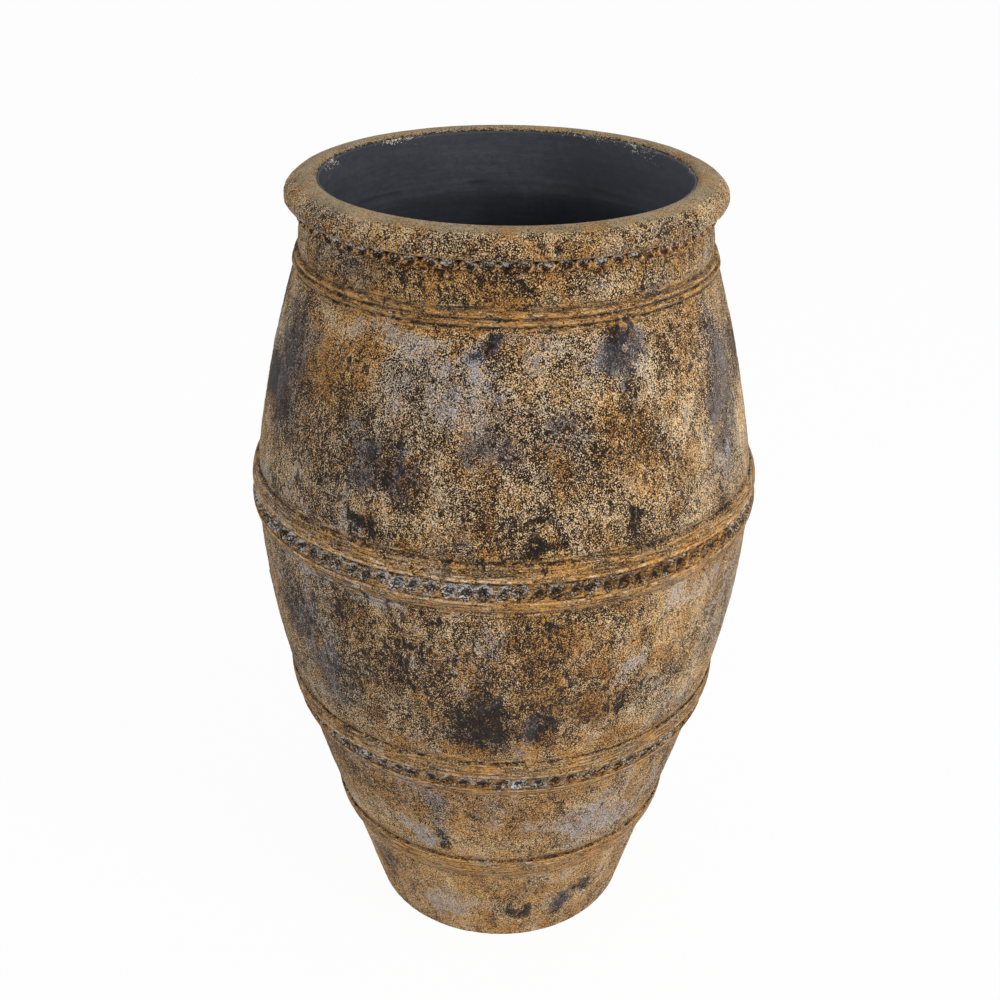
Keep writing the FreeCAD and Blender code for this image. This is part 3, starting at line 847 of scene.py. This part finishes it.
def make_rim():
    """The crimped strip under the lip, and the thick rolled lip."""
    sizes = shape()
    clay = weathered_clay("rim_clay")
    low, high = reach("rim_crimped_strip")
    heights = levels(low, high, FINE_STEP)
    worked_there = np.clip((heights - low) / (2 * MM) + 0.5, 0, 1)
    crimp_clay = weathered_clay("crimp_clay", streaky=True)
    face = run(Wall().radius(heights) + sizes.crimp_proud, heights, worked_there)
    turned(
        "rim_crimped_strip", strip_outline("rim_crimped_strip", face), crimp_clay,
        relief=crimped, segments=sizes.pressed_segments)
    seat, crown = reach("rim_lip")
    bore = sizes.mouth_radius + sizes.lining
    inner_edge = crown - sizes.rim_edge_drop
    widest = (sizes.rim_radius, seat + sizes.rim_widest_height)
    crest = (bore + sizes.rim_crest_inset, crown)
    step = FINE_STEP * 1.4

    def dented(points, turn, radius, height, worked):
        soft = layers(points, 70 * MM, 71, 3) * 0.9
        chips = ramp(lumps(points, 13 * MM, 73), 0.5, 0.9) * 1.1
        nicks = ramp(lumps(points, 6 * MM, 77), 0.35, 0.8) * 0.9
        inward = ramp(crest[0] + 22 * MM - radius, 0, 12 * MM)
        smooth = np.maximum(inward * ramp(height, inner_edge - 4 * MM, crown - 6 * MM), SMOOTHED)
        # The smooth inner part of the lip is worn and lighter. The top of the lip is also painted lighter, as
        # a painted highlight, and its inner edge gets a line of painted shade.
        marks = {
            "smooth": smooth,
            "bright": np.maximum(smooth * 0.9, ramp(height, crown - 12 * MM, crown) * 0.6),
            "groove": np.exp(-((height - inner_edge) / (2 * MM)) ** 2) * (radius < crest[0]) * 0.8,
        }
        return (soft - chips - nicks * (1 - smooth) - 0.5) * MM * worked, marks

    turned("rim_lip", np.vstack([
        run(bore, seat),
        run(sizes.rim_under_radius, seat, 0.3),
        swollen((sizes.rim_under_radius, seat), widest, sizes.rim_under_round, step, 1)[1:],
        swollen(widest, crest, sizes.rim_top_round, step, 1)[1:],
        swollen(crest, (bore, inner_edge), sizes.rim_inner_round, step, 0.5)[1:],
    ]), clay, relief=dented, segments=sizes.segments * 4 // 3)


# Seams of the clay rings that show through the coat, as heights. Scuffs of the coat at the mouth's
# edge, as azimuth and half width in degrees, and depth. Below a set height the coat gets painted shade.
SEAM_LEVELS = (0.33, 0.52, 0.71, 0.83, 0.905, 0.972)
SCUFFS = ((-104, 14, 0.03), (-140, 16, 0.02), (128, 16, 0.035), (150, 20, 0.015), (96, 8, 0.02))
SHADE_LEVEL = 0.97
SHADE_REACH = 0.2


def make_lining():
    """The smooth dark coat over the whole inside."""
    wall = Wall()
    sizes = shape()
    slab = bottom("inner_lining")
    floor = slab + sizes.lining
    edge = top("inner_lining")
    neck_top = top("neck_section")
    seat_top = top("neck_base_upper_coil")
    bore = sizes.mouth_radius + sizes.lining
    outer = levels(slab, seat_top, HIDDEN_STEP)
    inner = levels(seat_top, slab, PLAIN_STEP * 3)
    inner = inner[inner > floor]
    coat = levels(edge, neck_top, PLAIN_STEP)
    throat = levels(neck_top, seat_top, PLAIN_STEP)[1:-1]
    share = (throat - seat_top) / (neck_top - seat_top)
    neck_inside = wall.radius(seat_top) - sizes.wall
    throat_radius = neck_inside + (bore - neck_inside) * share

    def brushed(points, turn, radius, height, worked):
        seams = 0
        for level in SEAM_LEVELS:
            seams = seams + np.exp(-((height - level - drift(turn, 91, 3 * MM)) / (2.4 * MM)) ** 2)
        degrees = np.degrees(turn)
        scuffed = 0
        for azimuth, wide, low in SCUFFS:
            aside = (degrees - azimuth + 180) % 360 - 180
            near = np.exp(-(aside / wide) ** 2) * ramp(height, edge - low, edge)
            scuffed = np.maximum(scuffed, near)
        marks = {
            "bright": scuffed,
            # Painted shade: the coat darkens more and more below a set height.
            "soot": ramp(SHADE_LEVEL - height, 0, SHADE_REACH),
            # Painted light: the coat on the right-hand side of the inside is made lighter.
            "haze": ramp(np.sin(turn), 0.2, 1) * np.ones(height.shape),
            "groove": np.minimum(seams, 1) * ramp(lumps(points, 40 * MM, 97), -0.1, 0.5),
        }
        return (-seams * 0.5 + layers(points, 90 * MM, 83, 3) * 0.5 - 0.5) * MM * worked, marks

    turned("inner_lining", np.vstack([
        run(0, slab),
        run((wall.radius(slab) - sizes.wall) / 2, slab),
        run(wall.radius(outer) - sizes.wall, outer),
        run(bore, [neck_top, edge]),
        run(sizes.mouth_radius, coat, 0.6),
        run(throat_radius - sizes.lining, throat, 0.8),
        run(wall.radius(inner) - sizes.wall - sizes.lining, inner, 1),
        run(wall.radius(floor) - sizes.wall - sizes.lining, floor),
        run((wall.radius(floor) - sizes.wall) / 2, floor),
        run(0, floor),
    ]), dark_coat(), relief=brushed, segments=sizes.segments * 2 // 3, stained=False)


# Materials

# The level of a noise where a fleck starts and where it is full, and how far density lowers it.
FLECK_LOW = 0.705
FLECK_HIGH = 0.755
FLECK_COVER = 0.46


class Shade:
    """A shader socket. Arithmetic on it adds the nodes that work it out."""

    def __init__(self, recipe, socket):
        self.recipe = recipe
        self.socket = socket

    def math(self, operation, *terms):
        return self.recipe.shade("ShaderNodeMath", {"operation": operation}, dict(enumerate(terms)))

    def __add__(self, other):
        return self.math("ADD", self, other)

    def __radd__(self, other):
        return self.math("ADD", other, self)

    def __sub__(self, other):
        return self.math("SUBTRACT", self, other)

    def __rsub__(self, other):
        return self.math("SUBTRACT", other, self)

    def __mul__(self, other):
        return self.math("MULTIPLY", self, other)

    def __rmul__(self, other):
        return self.math("MULTIPLY", other, self)

    def __or__(self, other):
        """The larger of the two."""
        return self.math("MAXIMUM", self, other)

    def step(self, low, high):
        """0 below low, 1 above high, and smooth between them."""
        return self.recipe.shade("ShaderNodeMapRange", {"interpolation_type": "SMOOTHSTEP"}, {
            "Value": self, "From Min": low, "From Max": high,
        })


class Recipe:
    """The nodes of a material, or of the world, being put together."""

    def __init__(self, owner):
        self.owner = owner
        owner.use_nodes = True
        self.tree = owner.node_tree
        self.tree.nodes.clear()
        self.place = None

    def node(self, kind, settings=None, inputs=None):
        """One node: its type, its settings, then the values or links of its sockets."""
        made = self.tree.nodes.new(kind)
        for name, value in (settings or {}).items():
            setattr(made, name, value)
        for name, value in (inputs or {}).items():
            if isinstance(value, Shade):
                self.tree.links.new(value.socket, made.inputs[name])
            else:
                made.inputs[name].default_value = value
        return made

    def shade(self, kind, settings=None, inputs=None, output=0):
        return Shade(self, self.node(kind, settings, inputs).outputs[output])

    def spot(self):
        """The place on the object."""
        if self.place is None:
            self.place = self.shade("ShaderNodeTexCoord", output="Object")
        return self.place

    def grain(self, size, detail=2, roughness=0.5, distortion=0, tall=1, shift=0):
        """Noise with grains of about that size, and that many times as tall."""
        place = self.shade("ShaderNodeMapping", {"vector_type": "POINT"}, {
            "Vector": self.spot(),
            "Location": (shift, shift, shift),
            "Scale": (1 / size, 1 / size, 1 / (size * tall)),
        })
        return self.shade("ShaderNodeTexNoise", None, {
            "Vector": place, "Scale": 1, "Detail": detail, "Roughness": roughness, "Distortion": distortion,
        })

    def flecks(self, size, density, shift, tall=1):
        """Crisp flecks of about that size. They cover hardly anything at density 0 and all at 1."""
        noise = self.grain(size, 1.5, 0.6, tall=tall, shift=shift)
        return (noise + density * FLECK_COVER).step(FLECK_LOW, FLECK_HIGH)

    def mark(self, name):
        """A mark kept on the mesh."""
        return self.shade("ShaderNodeAttribute", {"attribute_name": name}, output="Fac")

    def mix(self, share, first, second):
        """A colour that share of the way from the first to the second. Colours may be given by name."""
        first, second = (paint(colour) if isinstance(colour, str) else colour for colour in (first, second))
        return self.shade("ShaderNodeMix", {"data_type": "RGBA"}, {0: share, 6: first, 7: second}, output=2)

    def finish(self, surface, output="ShaderNodeOutputMaterial"):
        self.node(output, None, {"Surface": surface})
        return self.owner


def paint(name):
    return tuple(getattr(bpy.context.scene.pithos_colours, name)) + (1,)


def weathered_clay(name, streaky=False):
    """Coarse clay, aged and limed: grains of many colours, drips, flaked soot, ash and rust."""
    mix = Recipe(bpy.data.materials.new(name))
    soot, slate, haze, rust = (mix.mark(kind) for kind in ("soot", "slate", "haze", "rust"))
    bright, groove, ridge, wiped = (mix.mark(kind) for kind in ("bright", "groove", "ridge", "wiped"))
    hollow = mix.mark("hollow")
    long, flat = (1.5, 0.55) if streaky else (1, 1)
    fine = mix.grain(1.5 * MM * long, 2, 0.6, tall=flat)
    pebble = mix.grain(2 * MM * long, 2, 0.6, tall=flat, shift=37) - 0.5
    edge = mix.grain(6 * MM * long, 4, 0.65, 0.5, tall=flat, shift=29) - 0.5
    cloud = mix.grain(21 * MM, 5, 0.66, 0.7, tall=1.8 * flat, shift=17) - 0.5
    broad = mix.grain(85 * MM, 4, 0.6, shift=7) - 0.5
    warm = mix.grain(34 * MM, 4, 0.62, 0.4, tall=1.3 * flat, shift=11) - 0.5
    drips = mix.grain(12 * MM, 4, 0.62, 0.3, tall=4, shift=13) - 0.5
    patch = mix.grain(48 * MM, 6, 0.7, 0.6, tall=1.5, shift=23) - 0.5
    streaks = mix.grain(26 * MM, 5, 0.6, tall=0.07, shift=31) - 0.5

    level = broad * 0.5 + patch * 0.35 + cloud * 0.6 + drips * 0.4 + edge * 0.9
    level = level + bright * 0.12 - slate * 0.12 - soot * 0.25 + streaks * wiped * 0.6
    warmth = warm * 0.7 + pebble * 1.4 + rust * 0.3 - haze * 0.12 - slate * 0.12
    middle = mix.mix((warmth + cloud * 0.4).step(-0.1, 0.12), "brown", "ochre")
    middle = mix.mix((cloud * 0.6 - warmth).step(0.08, 0.22) * 0.6, middle, "olive")
    light = mix.mix((warmth + edge * 0.3 - bright * 0.05).step(0, 0.16), "tan", "amber")
    light = mix.mix((slate * 0.5 + haze * 0.4 - warmth * 2).step(0, 0.5) * 0.32, light, "haze")
    dark = mix.mix((cloud + pebble * 0.5).step(-0.02, 0.14), "umber", "soot")
    blued = (slate + edge * 2.6 + patch * 4 + drips * 1.6 + (fine - 0.5)).step(0.5, 0.9)
    body = mix.mix(mix.flecks(1.7 * MM * long, 0.72 - level, 41, flat), middle, dark)
    body = mix.mix(mix.flecks(1.5 * MM * long, 0.45 + level, 47, flat), body, light)
    body = mix.mix(blued * 0.68, body, mix.mix(mix.flecks(1.6 * MM, 0.4, 53), "slate", "ash"))
    liming = haze * 0.52 + patch * 1.6 + cloud * 1.4 + streaks * wiped * 2 + 0.02
    limed = mix.flecks(1.7 * MM * long, liming, 59, flat)
    lime = mix.mix((fine - 0.5 + pebble).step(-0.12, 0.04), "ash", "haze")
    body = mix.mix(limed * 0.85, body, lime)
    rusting = rust * 0.3 + warm * 1.1 + edge + (0.36 if streaky else 0.14)
    rusted = mix.flecks(1.7 * MM * long, rusting, 61, flat)
    body = mix.mix(rusted * 0.75, body, mix.mix(pebble.step(-0.08, 0.12), "rust", "amber"))
    specks = mix.flecks(1.4 * MM, 0.24 - bright * 0.1, 73)
    body = mix.mix(specks * 0.8, body, "soot")

    rubbed = mix.mix((streaks + pebble * 0.8).step(-0.12, 0.14), "brown", "ochre")
    rubbed = mix.mix((streaks + pebble + edge).step(0.06, 0.2) * 0.55, rubbed, light)
    rubbed = mix.mix((streaks * 1.6 + warm + edge + rust * 0.12).step(0.06, 0.14), rubbed, "amber")
    rubbed = mix.mix((pebble - streaks * 1.8 + edge).step(0.05, 0.12), rubbed, dark)
    rubbed = mix.mix((streaks * 2 + pebble + haze * 0.25).step(0.3, 0.36), rubbed, "chalk")
    body = mix.mix((wiped + cloud * 2 + edge * 1.5 + (fine - 0.5) * 1.5).step(0.6, 1.1) * 0.72, body, rubbed)
    worn_smooth = (mix.mark("smooth") + edge + cloud).step(0.3, 0.8)
    worn_clay = mix.mix((fine - 0.5 + warm).step(0, 0.2), "olive", "ochre")
    body = mix.mix(worn_smooth * 0.62, body, worn_clay)

    crust = mix.grain(8 * MM, 3, 0.55, 0.9, tall=1.7, shift=71) - 0.5
    flaking = soot * 1.05 + crust * 4.2 + drips * 2.2 + cloud * 1.6 + edge * 1.2 - bright * 0.3
    flaked = flaking.step(0.76, 0.8)
    flake = mix.mix((fine + cloud).step(0.5, 0.62) * 0.6, "soot", "umber")
    flake = mix.mix(blued * 0.6, flake, "slate")
    flake = mix.mix(mix.flecks(1.6 * MM, 0.24 + level, 79), flake, middle)
    body = mix.mix(flaked * 0.95, body, flake)

    # Painted highlight: amber along the ridge crests, broken by noise.
    body = mix.mix((ridge + edge * 2.6 + pebble * 2.4).step(0.45, 0.7) * 0.8, body, "amber")
    # Painted highlight: chalk along the ridge crests, with random chalky flecks and a little lime.
    chalky = (ridge * 0.8 + edge * 3.2 + pebble * 2 + (fine - 0.5) * 2.4 + haze * 0.2).step(0.8, 0.95)
    body = mix.mix(chalky * 0.9, body, "chalk")
    # Painted shade: the inside of each press and crimp pit is darkened with umber, under its lime flecks.
    body = mix.mix(hollow.step(0.1, 0.6) * 0.5, body, "umber")
    dusting = hollow * 0.8 + haze * 0.4 + cloud * 0.9 - rust * 0.3
    dusted = mix.flecks(2.2 * MM, dusting, 67) * hollow.step(0.1, 0.4)
    body = mix.mix(dusted * 0.95, body, mix.mix(pebble.step(-0.06, 0.06), "haze", "chalk"))
    # Painted shade: black in the creases and in the pits of the presses and crimps, broken by noise, with
    # random black flecks.
    black_flecks_and_crease_shade = (groove + edge * 3 + pebble * 1.8 + (fine - 0.5) * 1.8 + streaks * wiped).step(0.48, 0.6)
    body = mix.mix(black_flecks_and_crease_shade * 0.92, body, "soot")
    body = mix.mix((mix.mark("red") + (fine - 0.5)).step(0.3, 0.5) * 0.8, body, "red")

    lift = fine * 0.6 + edge * 0.9 + cloud * 0.8 - flaked * 0.5 - black_flecks_and_crease_shade * 0.4
    bump = mix.shade("ShaderNodeBump", None, {"Strength": 0.75, "Distance": 1.1 * MM, "Height": lift})
    surface = mix.shade("ShaderNodeBsdfPrincipled", None, {
        "Base Color": body,
        "Roughness": 0.93 - flaked * 0.22 - blued * 0.1,
        "Specular IOR Level": 0.1,
        "Sheen Weight": 0.08,
        "Sheen Roughness": 0.6,
        "Normal": bump,
    })
    return mix.finish(surface)


def dark_coat():
    """Smooth dark paint, scuffed at the mouth, with faint bands from the brush."""
    mix = Recipe(bpy.data.materials.new("dark_coat"))
    broad = mix.grain(120 * MM, 4, 0.6, shift=5) - 0.5
    brushed = mix.grain(60 * MM, 4, 0.6, tall=0.08, shift=9) - 0.5
    fine = mix.grain(1.8 * MM, 2, 0.6) - 0.5
    scuff = mix.grain(9 * MM, 5, 0.7, 0.6, tall=0.6, shift=13) - 0.5
    rubbed = (broad * 0.9 + brushed * 0.4 + scuff * 0.5 + fine * 0.5 + 0.25).step(0, 0.9)
    body = mix.mix(rubbed * 0.4, "coat", "coat_worn_and_painted_light")
    # Painted light: the right-hand side of the inside is made lighter.
    body = mix.mix(mix.mark("haze") * 0.35, body, "coat_worn_and_painted_light")
    # Painted shade far down the jar.
    body = mix.mix(mix.mark("soot") * 0.95, body, "coat_deep")
    body = mix.mix(mix.mark("groove") * 0.5, body, "coat_deep")
    chipped = (mix.mark("bright") * 0.6 + scuff * 1.8 + fine * 1.2).step(0.66, 0.76)
    bare_clay = mix.mix((fine + scuff).step(-0.05, 0.1), "haze", "chalk")
    body = mix.mix(chipped * 0.9, body, bare_clay)
    lift = fine * 0.5 + brushed * 0.8 + scuff * 0.5 + chipped * 0.4
    bump = mix.shade("ShaderNodeBump", None, {"Strength": 0.35, "Distance": 0.5 * MM, "Height": lift})
    surface = mix.shade("ShaderNodeBsdfPrincipled", None, {
        "Base Color": body,
        "Roughness": 0.5 + rubbed * 0.2 + fine * 0.2,
        "Specular IOR Level": 0.25,
        "Normal": bump,
    })
    return mix.finish(surface)


def studio_floor():
    """A white floor that keeps a faint shadow and shows white to the camera."""
    mix = Recipe(bpy.data.materials.new("studio_floor"))
    rays = ("Is Camera Ray", "Is Glossy Ray", "Is Transmission Ray")
    seen = functools.reduce(operator.or_, (mix.shade("ShaderNodeLightPath", output=ray) for ray in rays))
    diffuse = mix.shade("ShaderNodeBsdfDiffuse", None, {"Color": paint("floor")})
    glow = mix.shade("ShaderNodeEmission", None, {"Color": (1, 1, 1, 1), "Strength": 1})
    return mix.finish(mix.shade("ShaderNodeMixShader", None, {0: seen * FLOOR_GLOW, 1: diffuse, 2: glow}))


# The stage

FLOOR_HALF = 40
FLOOR_GLOW = 0.96
CAMERA_PLACE = (-0.0044, -1.6206, 1.4559)
CAMERA_TILT = math.radians(62.261)
CAMERA_ROLL = math.radians(0.564)
LENS = 49.42
SENSOR = 36
LAMPS = (
    ("key_lamp", (2.3, -1.9, 2.3), 1.9, "key"),
    ("fill_lamp", (-2.5, -1.6, 1.7), 1.8, "fill"),
)
AIM = Vector((0, 0, 0.6))


def add_floor():
    mesh = bpy.data.meshes.new("floor")
    half = FLOOR_HALF
    corners = [(-half, -half, 0), (half, -half, 0), (half, half, 0), (-half, half, 0)]
    mesh.from_pydata(corners, [], [(0, 1, 2, 3)])
    mesh.materials.append(studio_floor())
    floor = bpy.data.objects.new("floor", mesh)
    bpy.context.scene.collection.objects.link(floor)


def add_sky():
    """Even light from all round, which the camera sees as white."""
    mix = Recipe(bpy.data.worlds.new("studio"))
    seen = mix.shade("ShaderNodeLightPath", output="Is Camera Ray")
    even, white = (
        mix.shade("ShaderNodeBackground", None, {"Color": (1, 1, 1, 1), "Strength": strength_of_it})
        for strength_of_it in (bpy.context.scene.pithos_stage.sky, 1)
    )
    blend = mix.shade("ShaderNodeMixShader", None, {0: seen, 1: even, 2: white})
    bpy.context.scene.world = mix.finish(blend, "ShaderNodeOutputWorld")


def add_lamps():
    for name, place, size, which in LAMPS:
        light = bpy.data.lights.new(name, "AREA")
        light.shape = "DISK"
        light.size = size
        light.energy = getattr(bpy.context.scene.pithos_stage, which)
        lamp = bpy.data.objects.new(name, light)
        lamp.location = place
        lamp.rotation_euler = (AIM - Vector(place)).to_track_quat("-Z", "Y").to_euler()
        bpy.context.scene.collection.objects.link(lamp)


def add_camera():
    lens = bpy.data.cameras.new("camera")
    lens.lens = LENS
    lens.sensor_width = SENSOR
    lens.sensor_fit = "HORIZONTAL"
    camera = bpy.data.objects.new("camera", lens)
    turn = Euler((CAMERA_TILT, 0, 0)).to_quaternion() @ Quaternion((0, 0, 1), CAMERA_ROLL)
    camera.matrix_world = Matrix.Translation(CAMERA_PLACE) @ turn.to_matrix().to_4x4()
    bpy.context.scene.collection.objects.link(camera)
    bpy.context.scene.camera = camera


def make_stage():
    add_floor()
    add_sky()
    add_lamps()
    add_camera()
    bpy.context.scene.view_settings.view_transform = "Standard"


# The add-on

class PITHOS_OT_foot(bpy.types.Operator):
    """Make the slab in the foot and the foot's cone"""
    bl_idname = "pithos.foot"
    bl_label = "Foot"

    def execute(self, context):
        make_foot()
        return {"FINISHED"}


class PITHOS_OT_walls(bpy.types.Operator):
    """Make the lower section, the belly and the shoulder"""
    bl_idname = "pithos.walls"
    bl_label = "Wall sections"

    def execute(self, context):
        make_walls()
        return {"FINISHED"}


class PITHOS_OT_neck(bpy.types.Operator):
    """Make the neck"""
    bl_idname = "pithos.neck"
    bl_label = "Neck"

    def execute(self, context):
        make_neck()
        return {"FINISHED"}


class PITHOS_OT_bands(bpy.types.Operator):
    """Make the belly band and the lower band"""
    bl_idname = "pithos.bands"
    bl_label = "Pressed bands"

    def execute(self, context):
        make_bands()
        return {"FINISHED"}


class PITHOS_OT_collars(bpy.types.Operator):
    """Make the foot collar and the neck coils"""
    bl_idname = "pithos.collars"
    bl_label = "Collar and coils"

    def execute(self, context):
        make_collars()
        return {"FINISHED"}


class PITHOS_OT_rim(bpy.types.Operator):
    """Make the crimped strip and the rolled lip"""
    bl_idname = "pithos.rim"
    bl_label = "Rim"

    def execute(self, context):
        make_rim()
        return {"FINISHED"}


class PITHOS_OT_lining(bpy.types.Operator):
    """Make the dark coat inside"""
    bl_idname = "pithos.lining"
    bl_label = "Lining"

    def execute(self, context):
        make_lining()
        return {"FINISHED"}


class PITHOS_OT_stage(bpy.types.Operator):
    """Make the floor, the lights and the camera"""
    bl_idname = "pithos.stage"
    bl_label = "Studio"

    def execute(self, context):
        make_stage()
        return {"FINISHED"}


OPERATORS = (
    PITHOS_OT_foot, PITHOS_OT_walls, PITHOS_OT_neck, PITHOS_OT_bands,
    PITHOS_OT_collars, PITHOS_OT_rim, PITHOS_OT_lining, PITHOS_OT_stage,
)


class PITHOS_PT_sidebar(bpy.types.Panel):
    """Lists the makers, then the sizes, colours and lights"""
    bl_idname = "PITHOS_PT_sidebar"
    bl_label = "Pithos"
    bl_space_type = "VIEW_3D"
    bl_region_type = "UI"
    bl_category = "Pithos"

    def draw(self, context):
        for maker in OPERATORS:
            self.layout.operator(maker.bl_idname)
        for name, group in GROUPS:
            column = self.layout.column(heading=group.__doc__)
            for field in group.__annotations__:
                column.prop(getattr(context.scene, name), field)


GROUPS = (
    ("pithos_shape", PithosShape),
    ("pithos_colours", PithosColours),
    ("pithos_stage", PithosStage),
)


def register():
    for name, group in GROUPS:
        bpy.utils.register_class(group)
        setattr(bpy.types.Scene, name, bpy.props.PointerProperty(type=group))
    for owner in OPERATORS + (PITHOS_PT_sidebar,):
        bpy.utils.register_class(owner)


def unregister():
    for owner in (PITHOS_PT_sidebar,) + OPERATORS[::-1]:
        bpy.utils.unregister_class(owner)
    for name, group in GROUPS[::-1]:
        delattr(bpy.types.Scene, name)
        bpy.utils.unregister_class(group)


def main():
    register()
    for maker in ("foot", "walls", "neck", "bands", "collars", "rim", "lining", "stage"):
        getattr(bpy.ops.pithos, maker)()


if __name__ == "__main__":
    main()
